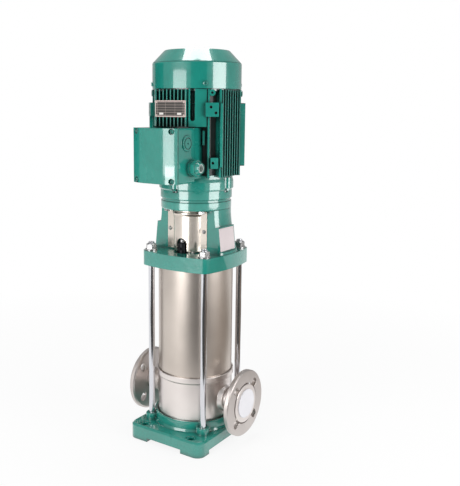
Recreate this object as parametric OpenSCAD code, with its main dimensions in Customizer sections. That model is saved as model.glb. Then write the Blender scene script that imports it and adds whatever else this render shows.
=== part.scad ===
// Vertical multistage pump: five closed impellers in a stainless sleeve, in-line ports
// with loose flanges, a cast motor stool and a finned, fan-cooled flange motor.
// Millimetres. The origin is on the shaft axis, level with the undersides of the feet.
// +Z runs up the shaft, +X is the discharge port and -Y is the terminal box side.

/* [Base plate] */
// Length of the base along the ports
base_l = 200; // [192:2:220]
// Width of the base across the ports
base_w = 248; // [244:2:272]
// Height of the base deck
base_h = 35; // [32:1:42]
// Radius of the base corners
base_corner_r = 20; // [16:1:26]
// Chamfer along the deck edge
base_chamfer = 4; // [2:1:6]
// Wall and deck thickness of the hollow casting
base_wall = 9; // [7:1:11]
// Distance from the foundation bolts to the port side edges
foot_edge_x = 35; // [33:1:37]
// Distance from the foundation bolts to the other two edges
foot_edge_y = 16.5; // [15:0.5:19]
// Diameter of the foundation bolt holes
foot_hole_d = 14; // [11:1:16]
// Rise of the arches between the feet
foot_arch_h = 9; // [6:1:12]
// Thickness of the ring that stands round the pump housing
base_ring_t = 6; // [5:0.5:7]
// Height of that ring above the deck
base_ring_h = 22; // [18:1:26]
// Height of the housing seat above the deck
seat_h = 11; // [8:1:14]

/* [Tie rods] */
// Spacing of the four tie rods, both ways
rod_span = 144; // [142:1:150]
// Diameter of a tie rod
rod_d = 14; // [12:1:16]
// Length of thread in the base boss
rod_thread_l = 20; // [16:1:24]
// Thickness of a tie rod washer
rod_washer_t = 3; // [2:0.5:4]

/* [Ports] */
// Distance from the shaft axis to each port face
port_face = 140; // [136:1:150]
// Height of the port axis above the floor
port_h = 98; // [95:1:101]
// Outside diameter of the port pipe
pipe_od = 48.3; // [46:0.1:50]
// Wall of the port pipe
pipe_t = 3.6; // [2.6:0.2:5]
// Diameter of the sealing collar on the pipe
collar_d = 88; // [82:1:90]
// Thickness of the sealing collar
collar_t = 9; // [7:1:11]
// Outside diameter of a loose flange
flange_od = 150; // [140:1:160]
// Thickness of a loose flange
flange_t = 13; // [12:1:16]
// Bolt circle of a loose flange
flange_pcd = 110; // [108:1:114]
// Width of a bolt slot
flange_hole_d = 18; // [14:1:19]
// Inward reach of a bolt slot from the bolt circle
flange_slot_in = 5; // [2:0.5:6]
// Diameter of a port cap
cap_d = 66; // [60:1:76]
// Thickness of a port cap
cap_t = 2.5; // [2:0.5:4]

/* [Housing, sleeve and head] */
// Outside diameter of the sleeve
sleeve_od = 170; // [168:1:174]
// Wall of the sleeve
sleeve_t = 2; // [1.5:0.5:3]
// Length of the sleeve
sleeve_l = 260; // [256:1:300]
// Height of the pump housing up to the sleeve ledge
housing_h = 104; // [100:1:112]
// Wall of the pump housing
housing_t = 4; // [3:0.5:6]
// Outside radius of the suction cup in the housing
cup_r = 50; // [46:1:54]
// Depth of the lip that covers a sleeve end
lip_h = 8; // [6:1:10]
// Height of the spigots inside the sleeve ends
spigot_h = 13; // [11:1:15]
// Thickness of the pump head disc
head_t = 10; // [8:1:12]
// Radius of the seal boss on the pump head
seal_boss_r = 30; // [27:1:32]
// Cord diameter of the sleeve O-rings
seal_cord_d = 2.5; // [2.2:0.1:2.8]

/* [Stages] */
// Height of one stage
stage_pitch = 45; // [42:0.5:46]
// Outside diameter of a stage chamber
chamber_d = 144; // [138:1:148]
// Wall of a stage chamber
chamber_t = 3; // [2:0.5:4]
// Diameter of an impeller
impeller_d = 120; // [112:1:124]
// Radius of the impeller eye
eye_r = 28; // [25:1:30]
// Thickness of the impeller shrouds
shroud_t = 2.5; // [1.5:0.5:3]
// Height of the impeller passage
passage_h = 10.5; // [8:0.5:12]
// Number of impeller vanes
impeller_vanes = 6; // [5:1:7]
// Number of return vanes in a chamber
return_vanes = 7; // [6:1:9]
// Diameter of the pump shaft
pump_shaft_d = 16; // [14:1:18]

/* [Motor stool] */
// Half width of the stool foot at the middle of a side
foot_mid = 98.5; // [97:0.5:102]
// Radius of the bow along a side of the foot
foot_bow_r = 313; // [300:1:360]
// Radius of the foot corners
foot_corner_r = 17; // [15:0.5:18.5]
// Thickness of the stool foot
foot_t = 32.5; // [30:0.5:36]
// Height of the window above the stool foot
window_h = 96; // [92:1:104]
// Half width of the window
window_half = 40; // [38:1:42]
// Distance from the axis to the flat faces that carry the guards
guard_plane = 34; // [33:1:36]
// Outside diameter of the ring that carries the motor
stool_ring_d = 158; // [156:1:160]
// Height of that ring
stool_ring_h = 18; // [16:1:22]
// Flare of the legs where they meet the foot
leg_flare = 17; // [12:1:18]
// Inside radius of the legs
leg_in_r = 60; // [58:1:64]

/* [Coupling and guards] */
// Diameter of the coupling
coupling_d = 60; // [56:1:64]
// Length of the coupling
coupling_l = 70; // [66:1:72]
// Sheet thickness of a guard
guard_t = 1.2; // [1:0.1:2]
// Half width of a guard
guard_half = 53; // [51:1:55]
// Half width of the bulge in a guard
bulge_half = 37; // [35:1:38]
// Distance from the axis to the front of the bulge
bulge_front = 57; // [54:1:60]
// Half width of the vent notch in a guard
notch_half = 13.5; // [12:0.5:15]

/* [Motor] */
// Diameter of the motor mounting face
motor_face_d = 160; // [158:1:164]
// Bolt circle of the motor mounting face
motor_pcd = 130; // [126:1:132]
// Spigot diameter of the motor mounting face
motor_spigot_d = 110; // [106:1:112]
// Height of the drive end shield
shield_h = 55; // [52:1:60]
// Length of the stator housing
housing_l = 187; // [180:1:200]
// Outside radius of the stator housing tube
frame_r = 80; // [78:1:82]
// Wall of the stator housing tube
frame_t = 8; // [6:1:9]
// Distance from the axis to the fin tips on the terminal box side
fin_reach_y = 97; // [95:1:99]
// Distance from the axis to the fin tips on the port sides
fin_reach_x = 91; // [89:1:93]
// Thickness of a fin
fin_t = 2.4; // [1.8:0.2:3.4]
// Spacing of the fins
fin_pitch = 9.6; // [8.4:0.2:10.4]
// Diameter of the motor shaft end
motor_shaft_d = 28; // [26:1:29]
// Diameter of the rotor core
rotor_d = 89; // [84:1:92]
// Radial air gap of the motor
air_gap = 0.5; // [0.4:0.1:0.8]
// Length of the laminated cores
core_l = 110; // [100:1:120]
// Diameter of the cooling fan
fan_d = 168; // [150:1:176]
// Number of fan blades
fan_blades = 9; // [7:1:11]
// Outside diameter of the fan cowl
cowl_d = 195; // [193:1:199]
// Height of the straight part of the cowl
cowl_h = 55; // [52:1:60]
// Height of the cowl's cone
cowl_cone_h = 27; // [22:1:30]
// Diameter of the flat grille on top of the cowl
grille_d = 143; // [130:1:150]
// Sheet thickness of the cowl
cowl_t = 1.6; // [1.2:0.1:2.4]

/* [Terminal box] */
// Width of the terminal box
box_w = 114; // [110:1:116]
// Height of the terminal box
box_h = 114; // [108:1:118]
// Distance from the axis to the back of the terminal box
box_back = 89; // [88:1:91]
// Depth of the terminal box
box_d = 57; // [52:1:62]
// Depth of the terminal box cover
cover_d = 12; // [10:1:16]
// Wall of the terminal box and its cover
box_wall = 4; // [3:0.5:5]
// Width across flats of the cable gland
gland_af = 32; // [28:1:34]
// Diameter of the cable hole in the gland
gland_bore_d = 14; // [10:1:16]
// Diameter of the blanking plug
blank_d = 33; // [28:1:35]

/* [Hidden] */
$fn = 96;
stages = 5;
// Clearances
seat_gap = 0.05; // round pieces that stay together in one body
run_gap = 0.05; // shafts in their bearings
loose_gap = 0.3; // pieces that lie side by side
wash_gap = 1.2; // round the sleeve ends
rod_clear = 0.6; // tie rods in the stool foot
skim = 0.1; // between faces that slide on each other
// Overlaps of shapes that are joined or cut
past = 1; // how far a cut runs past the face that it opens
sink = 1; // how far a shape runs into the one that carries it
far = 300; // longer than any cut needs
// Edges
nick = 1; // chamfer on a small turned edge
bevel = 2; // chamfer on a larger edge

// Levels from the floor up
z_seat = base_h + seat_h;
z_ledge = z_seat + housing_h;
z_sleeve_top = z_ledge + sleeve_l;
z_head_top = z_sleeve_top + head_t;
foot_cover_h = 5.5; // how far the stool foot reaches down over the sleeve
z_foot = z_sleeve_top - foot_cover_h;
z_deck = z_foot + foot_t;
z_ring = z_deck + window_h;
z_motor = z_ring + stool_ring_h;
z_frame = z_motor + shield_h;
z_frame_top = z_frame + housing_l;
z_cone = z_frame_top + cowl_h;
z_top = z_cone + cowl_cone_h;

// Base
foot_span_x = base_l - 2 * foot_edge_x;
foot_span_y = base_w - 2 * foot_edge_y;
foot_pad_r = foot_hole_d / 2 + 13;
spot_face_w = 5;
spot_face_t = 1.5;
boss_core_z = 12; // where the rod bosses start above the floor
rib_t = 6; // ribs under the deck
rib_h = 10;
base_ring_foot = 3; // fillet at the foot of the ring
base_ring_foot_h = 5;
seat_land = 12; // width of the land that the housing stands on

// Sleeve, housing and head
sleeve_r = sleeve_od / 2;
spigot_r = sleeve_r - sleeve_t - loose_gap;
spigot_in_r = spigot_r - 4.7;
lip_in_r = sleeve_r + wash_gap;
lip_t = 3;
housing_r = sleeve_r + 1;
housing_in_r = housing_r - housing_t;
housing_round = 5; // slope at the foot of the housing
housing_floor_t = 6;
shoulder_h = 8; // slope below the lip
shoulder_in_h = 12; // slope inside the housing below the ledge
lip_r = lip_in_r + lip_t;
base_ring_in_r = housing_r + 2;
base_ring_r = base_ring_in_r + base_ring_t;
groove_w = seal_cord_d + 0.4;
groove_r = spigot_r - seal_cord_d;
groove_up = 4; // from the end of a spigot or the ledge to the groove
seal_squeeze = 0.2;
head_floor_t = 3; // thickening of the head inside the spigot
seal_bore_r = seal_boss_r - 9;
shaft_pass_gap = 2; // round the shaft in the head
seal_stop_t = 8; // wall over the seal seat
z_spigot_bottom = z_sleeve_top - spigot_h;
z_boss_top = z_head_top + 26;
vent_at = 52; // vent plug from the shaft axis
vent_thread_r = 6;
vent_hex_af = 22;
vent_hex_h = 14;
vent_body_r = 9;
vent_h = 40;
vent_slope = 4;
vent_spout_z = 26;
vent_spout_r = 3.6;
vent_spout_l = 14;
vent_screw_r = 3;
vent_screw_l = 9;
vent_knob_r = 5.4;
vent_knob_h = 6;

// Tie rods
rod_r = rod_d / 2;
rod_at = rod_span / 2;
rod_boss_r = rod_r + 7.5;
rod_boss_top = base_h + 14;
rod_bottom = rod_boss_top - rod_thread_l;
rod_washer_r = rod_r + 7;
rod_washer_gap = 0.4;
rod_chamfer = 1.5;
rod_nut_af = rod_d + 8;
rod_nut_h = rod_d * 0.8;
rod_nut_turn = 15;
rod_stand = 5; // rod end above the nut
z_washer_top = z_deck + rod_washer_t;
z_nut_top = z_washer_top + rod_nut_h;
rod_top = z_nut_top + rod_stand;

// Ports
pipe_r = pipe_od / 2;
pipe_in_r = pipe_r - pipe_t;
collar_r = collar_d / 2;
port_neck = 8; // swelling of the wall round a port pipe
port_neck_l = housing_t + 5;
flange_bore_r = pipe_r + 0.85;
flange_seat_r = collar_r + 2.5;
flange_proud = 1.5; // collar face ahead of the flange face
flange_front = port_face - flange_proud;
flange_lip_t = flange_t - (collar_t - flange_proud) - loose_gap;
flange_back_slope = 4;
flange_back_h = 3;
cap_plug_l = 8;
cap_plug_t = 3.2;
cap_plug_taper = 0.6;

// Stages
stack_z = z_ledge - 8;
stack_top = stack_z + stages * stage_pitch;
chamber_r = chamber_d / 2;
floor_t = 3;
shelf_t = 2;
shelf_drop = 17; // partition below the top of its chamber
shelf_gap = 8; // way for the water round the partition
impeller_r = impeller_d / 2;
shaft_r = pump_shaft_d / 2;
hub_r = shaft_r + 5;
hub_swell = 5;
hub_gap = 1;
return_eye_r = hub_r + 8;
return_vane_t = 2.4;
return_inside = 13;
return_beyond = 5;
stage_turn = 11; // each chamber is turned on from the last
impeller_vane_t = 2.2;
impeller_inside = 18.5;
impeller_beyond = 12;
impeller_turn = 17;
vane_start = 1.5;
neck_gap = 0.5;
impeller_rise = 8; // front shroud above the chamber floor
impeller_nut_h = 9;
clamp_t = 4;
clamp_post_r = 4;
clamp_post_in = 6;
clamp_eye = 12;
clamp_rim = 12;
clamp_seat = 3;
spider_z = stack_z - 22;
spider_h = 12;
spider_arm_t = 6;
bush_wall = 4.5;
bush_r = shaft_r + bush_wall;
bush_stand = 2;
bush_hub_t = 6;
shaft_stand = 8;
shaft_collar_t = 3;
shaft_collar_h = 5;

// Shaft seal, from the sealing face down
seal_face = z_boss_top - 16;
seal_l = 30;
seal_head_t = 9;
seal_face_t = 6;
bellows_t = 7;
bellows_root_t = 5;
seal_shaft_gap = 1.5;

// Coupling and guards
coupling_r = coupling_d / 2;
z_coupling = z_deck + 15;
z_coupling_top = z_coupling + coupling_l;
z_shaft_joint = z_coupling + coupling_l / 2;
shaft_end_gap = 3; // pump shaft end from the joint plane
motor_end_gap = 2; // motor shaft end from the joint plane
coupling_split = 0.5; // half of the gap between the coupling halves
coupling_screw_r = 3;
coupling_screw_in = 7.5;
coupling_screw_end = 14;
coupling_ear = coupling_r - 14;
coupling_pocket_r = 6;
coupling_head_r = 5.2;
coupling_head_h = 6;
socket_af = 5;
socket_h = 3;
coupling_nut_af = 9.4;
guard_bottom = z_deck + 3;
guard_top = z_ring - 3;
bulge_depth = bulge_front - guard_plane;
bulge_r = (bulge_half * bulge_half + bulge_depth * bulge_depth) / (2 * bulge_depth);
bulge_y = bulge_front - bulge_r;
guard_lip_down = 7; // rolled lip below the top edge
guard_lip_half = 5;
guard_lip_out = 2.8;
guard_tab_w = 4;
guard_tab_x = bulge_half - 20;
guard_tab_y = guard_plane + bulge_depth * 0.82;
guard_tab_up = 2.7;
notch_top = guard_bottom + 29;
guard_screw_x = (window_half + guard_half) / 2 - 0.5;
guard_screw_z = (guard_bottom + guard_top) / 2;
screw_r = 2.5;
screw_slot_w = 0.9;
guard_screw_l = 7;
cowl_screw_l = 9;

// Motor stool
leg_wall = 6;
seal_boss_gap = 4;
vent_room = 14;
motor_hole_r = 4.5;
leg_steps = 10;
pump_plate_w = 58;
pump_plate_h = 50;
plate_t = 0.8;
rivet_r = 1.6;
rivet_h = 0.9;
rivet_in = 4;
facet_tilt = 6; // lean of the plate pad on each leg
facet_z = z_deck + 33;
facet_x = 86.5;
facet_y = -5; // middle of the plate across the leg
pad_margin = 3; // pad beyond the plate
pad_depth = 15;

// Motor bearings and shaft
motor_shaft_r = motor_shaft_d / 2;
motor_body_r = motor_shaft_r + 3;
motor_face_r = motor_face_d / 2;
motor_bolt_r = 4;
motor_bolt_l = 14;
motor_bolt_af = 13;
motor_bolt_h = 5.6;
motor_washer_t = 1.6;
motor_washer_r = 8;
core_slots = 24;
core_slot_w = 4.8;
core_slot_depth = 15;
coil_in = 5;
coil_t = 17;
coil_h = 18;
end_ring_in = 2;
end_ring_t = 12;
end_ring_h = 7.5;
frame_in_r = frame_r - frame_t;
core_z = z_frame + (housing_l - core_l) / 2 - 4;
de_seat_r = motor_shaft_r + 1;
de_bearing_r = de_seat_r + 16;
de_bearing_h = 16;
de_bearing_z = z_motor + 14;
fe_seat_r = 12.5;
fe_bearing_r = 26;
fe_bearing_h = 15;
fe_bearing_z = z_frame_top + 6;
fan_seat_r = 10;

// Motor shields
shield_spigot_h = 4;
shield_rim = 3; // step of the shield beyond the mounting face
shield_neck_h = 6;
shield_lug_r = 9;
shield_lug_root = 14;
shield_head_af = 9;
shield_head_h = 5;
lug_reach = 3.5;
lug_top = 4;
shield_lug_at = frame_r + 1.5;
shield_screw_reach = 12; // how far the shield screws go into the stator housing
shield_lug_low = z_frame - 25;
fe_plate_t = 12;
fe_neck_h = 6;
fe_step = 4;
fe_hole_gap = 3;
fe_hub_t = 8;
fe_hub_h = 24;
fe_arm_half = 8;
fe_arm_h = 18;
fe_rib_half = 1.5;

// Stator housing corners
pad_n = 95; // distance from the axis to the pad face
boss_n = 103; // distance from the axis to the boss faces
rail_n = 101; // distance from the axis to the tall rail between the bosses
pad_edge = 34.5; // far edge of the pad across the corner
rail_inner = 6;
rail_inner_w = 4;
rail_outer = 32;
rail_outer_w = 5;
corner_root = 20; // how deep a corner shape starts inside the tube
slot_r = 5;
slot_at = -26;
slot_depth = 14;
slot_l = 62;
boss_high = [0, 28.5, 129, 158]; // far and near edge across the corner, bottom and top
boss_low = [11.5, 28, 21, 44];
boss_holes = [[22, 137], [11.5, 149], [16.5, 33]];
boss_hole_r = 3;
boss_hole_l = 14;
eye_at = 15; // small lifting eye boss above the upper boss
eye_n = 98;
eye_r_out = 7;
eye_down = 8.5;
rail_low = 24; // ends of the raised part of the outer rail
rail_high = 156.5;
bar_at = -1; // short rib between the pad and the channel
bar_w = 5;
bar_n = 90;
bar_low = 70;
bar_high = 100;
fin_gap = 2;
fin_base_h = 5;
fin_top_ring = 2;
fin_low_ring = 6;

// Fan and cowl
cowl_r = cowl_d / 2;
cowl_in_r = cowl_r - cowl_t;
cowl_screw_z = z_frame_top + 10;
fan_z = fe_bearing_z + fe_bearing_h + 8;
fan_h = 30;
fan_r = fan_d / 2;
fan_hub_r = 18;
fan_hub_h = 20;
fan_disc_r = fan_r * 0.72;
fan_blade_t = 2.8;
fan_step = 6;
slot_w = 4.2; // grille slots
land_w = 3.2;
grille_rings = 7;
grille_rib_half = 2.4;
grille_eye_r = 13;

// Terminal box
box_drop = 8; // how far the terminal box hangs below the stator housing
shield_lug_top = z_frame - 1;
box_z = z_frame - box_drop;
box_top = box_z + box_h;
box_front = box_back + box_d;
box_edge_r = 5;
box_screw_in_x = 12; // cover screws from the sides of the box
box_screw_in_z = 6.5;
box_post_r = 5;
box_post_bore_l = 16;
box_seat_t = 1.5; // gasket between box and cover
gasket_in = 1;
gasket_hole_r = 2.8;
cover_back = box_front + box_seat_t;
cover_front = box_front + cover_d;
cover_pocket_r = 6;
cover_pocket_wall = 3;
cover_floor_t = 3;
cover_rim = 2; // straight edge of the cover below its rounding
cover_round = 36; // width of the rounding along each side of the cover
cover_screw_x = box_w / 2 - box_screw_in_x;
cover_screw_low = box_z + box_screw_in_z;
cover_screw_high = box_top - box_screw_in_z;
cover_screw_l = 14;
cable_way_r = 14;
cable_way_z = z_frame + 28;
seat_edge = 1; // the seat on the housing is this much narrower than the box
gland_y = -101;
gland_z = z_frame + 24;
gland_thread_r = 10;
gland_base_h = 7;
gland_nut_h = 18;
gland_l = 26;
gland_in = 6;
blank_y = -116.7;
blank_z = z_frame + 75;
blank_thread_r = 12;
blank_in = 3;
blank_h = 3;
block_half = 32;
block_t = 10;
block_h = 36;
block_z = z_frame + 52;
stud_pitch = 20;
stud_rows = [9, 27];
stud_r = 2;
stud_l = 16;
stud_nut_af = 8;
stud_nut_h = 5;
motor_plate_w = 80;
motor_plate_h = 34;
motor_plate_z = z_frame + 145;

teal = "#2f9c88";
steel = "#c9c6c0";
zinc = "#d9dade";
dark = "#23272a";

// ---------- shared shapes ----------

// A solid of revolution from its half section
module turned(points) rotate_extrude() polygon(points);

// A tube or ring between two levels
module ring(outer, inner, low, high)
    turned([[inner, low], [outer, low], [outer, high], [inner, high]]);

// A disc between two levels
module disc(radius, low, high) lift(low) cylinder(r = radius, h = high - low);

// A cylinder from the origin along +X, and one along -Y
module along_x(r, l) rotate([0, 90, 0]) cylinder(r = r, h = l);
module along_y(r, l) rotate([90, 0, 0]) cylinder(r = r, h = l);

// Moves a shape up
module lift(h) translate([0, 0, h]) children();

// A box given by its lowest corner and its highest corner
module block(low, high) translate(low) cube(high - low);

// Copies at the four corners of a rectangle
module at_corners(half_x, half_y)
    for (sx = [-1, 1], sy = [-1, 1]) translate([sx * half_x, sy * half_y, 0]) children();

// Copies turned evenly about Z
module around(count, start = 0)
    for (k = [0 : count - 1]) rotate([0, 0, start + k * 360 / count]) children();

// A hexagonal prism standing on the XY plane
module hexagon(across_flats, h) cylinder(r = across_flats / sqrt(3), h = h, $fn = 6);

// A plate with round corners
module round_plate(l, w, h, r) {
    translate([-l / 2, r - w / 2, 0]) cube([l, w - 2 * r, h]);
    translate([r - l / 2, -w / 2, 0]) cube([l - 2 * r, w, h]);
    at_corners(l / 2 - r, w / 2 - r) cylinder(r = r, h = h);
}

// The section of a plate whose top edges are chamfered
module chamfered_section(w, h, c)
    polygon([[-w / 2, 0], [w / 2, 0], [w / 2, h - c], [w / 2 - c, h], [c - w / 2, h], [-w / 2, h - c]]);

// A round-cornered plate with a chamfer all round its top edge
module chamfered_plate(l, w, h, r, c) {
    translate([0, w / 2 - r, 0]) rotate([90, 0, 0])
        linear_extrude(w - 2 * r) chamfered_section(l, h, c);
    translate([r - l / 2, 0, 0]) rotate([90, 0, 90])
        linear_extrude(l - 2 * r) chamfered_section(w, h, c);
    at_corners(l / 2 - r, w / 2 - r) {
        cylinder(r = r, h = h - c);
        lift(h - c) cylinder(r1 = r, r2 = r - c, h = c);
    }
}

// One curved blade that sweeps from an inner to an outer radius. Its arc belongs to a circle
// that comes nearer to the axis than the inner radius and reaches beyond the outer one.
module curved_blade(inner, outer, nearer, beyond, t, h) {
    arc_r = (outer + beyond - inner + nearer) / 2;
    intersection() {
        translate([outer + beyond - arc_r, 0, 0]) difference() {
            cylinder(r = arc_r + t / 2, h = h);
            lift(-1) cylinder(r = arc_r - t / 2, h = h + 2);
        }
        difference() {
            cylinder(r = outer, h = h);
            lift(-1) cylinder(r = inner, h = h + 2);
        }
        translate([-outer, 0, 0]) cube([2 * outer, outer + 1, h]);
    }
}

// ---------- base ----------

module base_plate() color(teal) {
    bay_x = foot_span_x / 2 - foot_pad_r;
    bay_y = foot_span_y / 2 - foot_pad_r;
    difference() {
        union() {
            chamfered_plate(base_l, base_w, base_h, base_corner_r, base_chamfer);
            turned([[0, base_h - sink], [base_ring_r + base_ring_foot, base_h - sink],
                [base_ring_r + base_ring_foot, base_h], [base_ring_r, base_h + base_ring_foot_h],
                [base_ring_r, base_h + base_ring_h - bevel], [base_ring_r - bevel, base_h + base_ring_h],
                [base_ring_in_r, base_h + base_ring_h], [base_ring_in_r, z_seat], [0, z_seat]]);
            at_corners(rod_at, rod_at) {
                disc(rod_boss_r, base_h - sink, rod_boss_top - bevel);
                lift(rod_boss_top - bevel)
                    cylinder(r1 = rod_boss_r, r2 = rod_boss_r - bevel, h = bevel);
            }
        }
        // hollow underside that leaves the foot pads and the rod bosses standing
        difference() {
            lift(-past)
                round_plate(base_l - 2 * base_wall, base_w - 2 * base_wall,
                    base_h - base_wall + past, base_corner_r - base_wall + bevel);
            at_corners(foot_span_x / 2, foot_span_y / 2) disc(foot_pad_r, -2 * past, base_h);
            at_corners(rod_at, rod_at) disc(rod_boss_r, boss_core_z, base_h);
            for (turn = [0, 90]) rotate([0, 0, turn])
                block([-base_w, -rib_t / 2, base_h - base_wall - rib_h], [base_w, rib_t / 2, base_h]);
        }
        // housing well, arches between the feet and the holes
        disc(base_ring_in_r - seat_land, base_h, z_seat + past);
        block([-bay_x - bevel, -base_w, -past], [bay_x + bevel, base_w, foot_arch_h]);
        block([-base_l, -bay_y, -past], [base_l, bay_y, foot_arch_h]);
        at_corners(foot_span_x / 2, foot_span_y / 2) {
            disc(foot_hole_d / 2, -past, base_h + past);
            disc(foot_hole_d / 2 + spot_face_w, base_h - spot_face_t, base_h + past);
        }
        at_corners(rod_at, rod_at) disc(rod_r + seat_gap, rod_bottom, base_h + base_ring_h + past);
    }
}

// ---------- hydraulic end ----------

// A pipe stub with its sealing collar, along +X from a start radius
module port_pipe(start) {
    translate([start, 0, port_h]) along_x(pipe_r, port_face - start - nick);
    translate([port_face - collar_t, 0, port_h]) rotate([0, 90, 0])
        turned([[0, 0], [collar_r, 0], [collar_r, collar_t - nick], [collar_r - nick, collar_t],
            [0, collar_t]]);
}

module pump_housing() color(steel) {
    floor_top = z_seat + housing_floor_t;
    groove = z_ledge + groove_up;
    difference() {
        union() {
            turned([[0, z_seat], [housing_r - housing_round, z_seat],
                [housing_r, z_seat + housing_round], [housing_r, z_ledge - shoulder_h],
                [lip_r, z_ledge - shoulder_h / 2], [lip_r, z_ledge + lip_h - nick],
                [lip_r - nick, z_ledge + lip_h], [lip_in_r, z_ledge + lip_h], [lip_in_r, z_ledge],
                [spigot_r, z_ledge], [spigot_r, groove], [groove_r, groove],
                [groove_r, groove + groove_w], [spigot_r, groove + groove_w],
                [spigot_r, z_ledge + spigot_h], [spigot_in_r, z_ledge + spigot_h],
                [spigot_in_r, z_ledge - shoulder_in_h / 2], [housing_in_r, z_ledge - shoulder_in_h],
                [housing_in_r, floor_top], [0, floor_top]]);
            ring(cup_r, cup_r - housing_t, floor_top - sink, stack_z);
            port_pipe(housing_in_r - 2 * sink);
            mirror([1, 0, 0]) port_pipe(cup_r - 3 * sink);
            for (side = [0, 1]) mirror([side, 0, 0]) translate([housing_in_r, 0, port_h])
                rotate([0, 90, 0])
                    cylinder(r1 = pipe_r + port_neck, r2 = pipe_r + port_neck / 2, h = port_neck_l);
            disc(bush_r + bush_hub_t, spider_z, spider_z + spider_h);
            around(3, 30) block([bush_r, -spider_arm_t / 2, spider_z],
                [cup_r - sink, spider_arm_t / 2, spider_z + spider_h]);
        }
        translate([housing_in_r - 3 * housing_t, 0, port_h]) along_x(pipe_in_r, port_face);
        mirror([1, 0, 0]) translate([bush_r + bush_hub_t, 0, port_h]) along_x(pipe_in_r, port_face);
        disc(bush_r + seat_gap, spider_z - past, spider_z + spider_h + past);
    }
}

// Two O-rings, one round each spigot
module sleeve_seals() color(dark)
    for (z = [z_ledge, z_spigot_bottom]) lift(z + groove_up + groove_w / 2)
        rotate_extrude() translate([spigot_r - (seal_cord_d - seal_squeeze) / 2, 0])
            circle(d = seal_cord_d - seal_squeeze, $fn = 32);

module sleeve() color(steel) ring(sleeve_r, sleeve_r - sleeve_t, z_ledge, z_sleeve_top);

module pump_head() color(steel) {
    groove = z_spigot_bottom + groove_up;
    low = z_sleeve_top - head_floor_t;
    difference() {
        turned([[shaft_r + shaft_pass_gap, low], [spigot_in_r - 2 * head_floor_t, low],
            [spigot_in_r, z_spigot_bottom], [spigot_r, z_spigot_bottom], [spigot_r, groove],
            [groove_r, groove], [groove_r, groove + groove_w],
            [spigot_r, groove + groove_w], [spigot_r, z_sleeve_top],
            [lip_in_r - loose_gap, z_sleeve_top], [lip_in_r - loose_gap, z_head_top],
            [seal_boss_r, z_head_top], [seal_boss_r, z_boss_top - bevel],
            [seal_boss_r - bevel, z_boss_top], [shaft_r + shaft_pass_gap, z_boss_top]]);
        // seal chamber and vent hole
        disc(seal_bore_r, low - past, z_boss_top - seal_stop_t);
        translate([0, -vent_at, 0]) disc(vent_thread_r + seat_gap, low - past, z_head_top + past);
    }
}

// Tie rods with chamfered ends
module tie_rods() color(zinc)
    at_corners(rod_at, rod_at) turned([[0, rod_bottom], [rod_r - rod_chamfer, rod_bottom],
        [rod_r, rod_bottom + rod_chamfer], [rod_r, rod_top - rod_chamfer],
        [rod_r - rod_chamfer, rod_top], [0, rod_top]]);

module rod_washers() color(zinc)
    at_corners(rod_at, rod_at) ring(rod_washer_r, rod_r + rod_washer_gap, z_deck, z_washer_top);

module rod_nuts() color(zinc)
    at_corners(rod_at, rod_at) difference() {
        intersection() {
            lift(z_washer_top) rotate([0, 0, rod_nut_turn]) hexagon(rod_nut_af, rod_nut_h);
            turned([[0, z_washer_top], [rod_nut_af * 0.56, z_washer_top],
                [rod_nut_af * 0.56, z_nut_top - rod_nut_af * 0.073], [rod_nut_af * 0.48, z_nut_top],
                [0, z_nut_top]]);
        }
        disc(rod_r + seat_gap, z_washer_top - past, z_nut_top + past);
    }

// A loose flange that turns behind the sealing collar, facing +X
module loose_flange() color(zinc)
    translate([flange_front - flange_t, 0, port_h]) rotate([0, 90, 0]) difference() {
        turned([[flange_bore_r, 0], [flange_od / 2 - flange_back_slope, 0],
            [flange_od / 2, flange_back_h], [flange_od / 2, flange_t - bevel],
            [flange_od / 2 - bevel, flange_t], [flange_seat_r, flange_t],
            [flange_seat_r, flange_lip_t], [flange_bore_r, flange_lip_t]]);
        around(4, 45) {
            translate([flange_pcd / 2, 0, -past]) cylinder(d = flange_hole_d, h = flange_t + 2 * past);
            translate([flange_pcd / 2 - flange_slot_in, 0, -past])
                cylinder(d = flange_hole_d, h = flange_t + 2 * past);
            block([flange_pcd / 2 - flange_slot_in, -flange_hole_d / 2, -past],
                [flange_pcd / 2, flange_hole_d / 2, flange_t + past]);
        }
    }

module discharge_flange() loose_flange();
module suction_flange() mirror([1, 0, 0]) loose_flange();

// A push-in plastic cap for a port, facing +X
module port_cap() color("#f4f4f2") translate([port_face, 0, port_h]) rotate([0, 90, 0])
    turned([[0, 0], [pipe_in_r - cap_plug_t, 0], [pipe_in_r - cap_plug_t + cap_plug_taper, -cap_plug_l],
        [pipe_in_r - loose_gap - cap_plug_taper, -cap_plug_l], [pipe_in_r - loose_gap, 0],
        [cap_d / 2, 0], [cap_d / 2, cap_t - nick], [cap_d / 2 - nick, cap_t], [0, cap_t]]);

module discharge_cap() port_cap();
module suction_cap() mirror([1, 0, 0]) port_cap();

// Vent plug, standing on the pump head
module vent_plug() color(dark) translate([0, -vent_at, z_head_top]) difference() {
    union() {
        disc(vent_thread_r, -head_t - bevel, 0);
        hexagon(vent_hex_af, vent_hex_h);
        turned([[0, vent_hex_h], [vent_body_r, vent_hex_h], [vent_body_r, vent_h - vent_slope],
            [vent_body_r - vent_slope * 0.625, vent_h], [0, vent_h]]);
        lift(vent_spout_z) along_y(vent_spout_r, vent_spout_l);
    }
    disc(vent_screw_r + seat_gap, vent_h / 2, vent_h + past);
    translate([0, past, vent_spout_z]) along_y(vent_spout_r - bevel, vent_spout_l + vent_thread_r);
}

module vent_screw() color(zinc) translate([0, -vent_at, z_head_top + vent_h]) {
    disc(vent_screw_r, -vent_screw_l, 0);
    difference() {
        disc(vent_knob_r, 0, vent_knob_h);
        block([-screw_slot_w, -vent_body_r, vent_knob_h - bevel],
            [screw_slot_w, vent_body_r, vent_knob_h + past]);
    }
}

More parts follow.
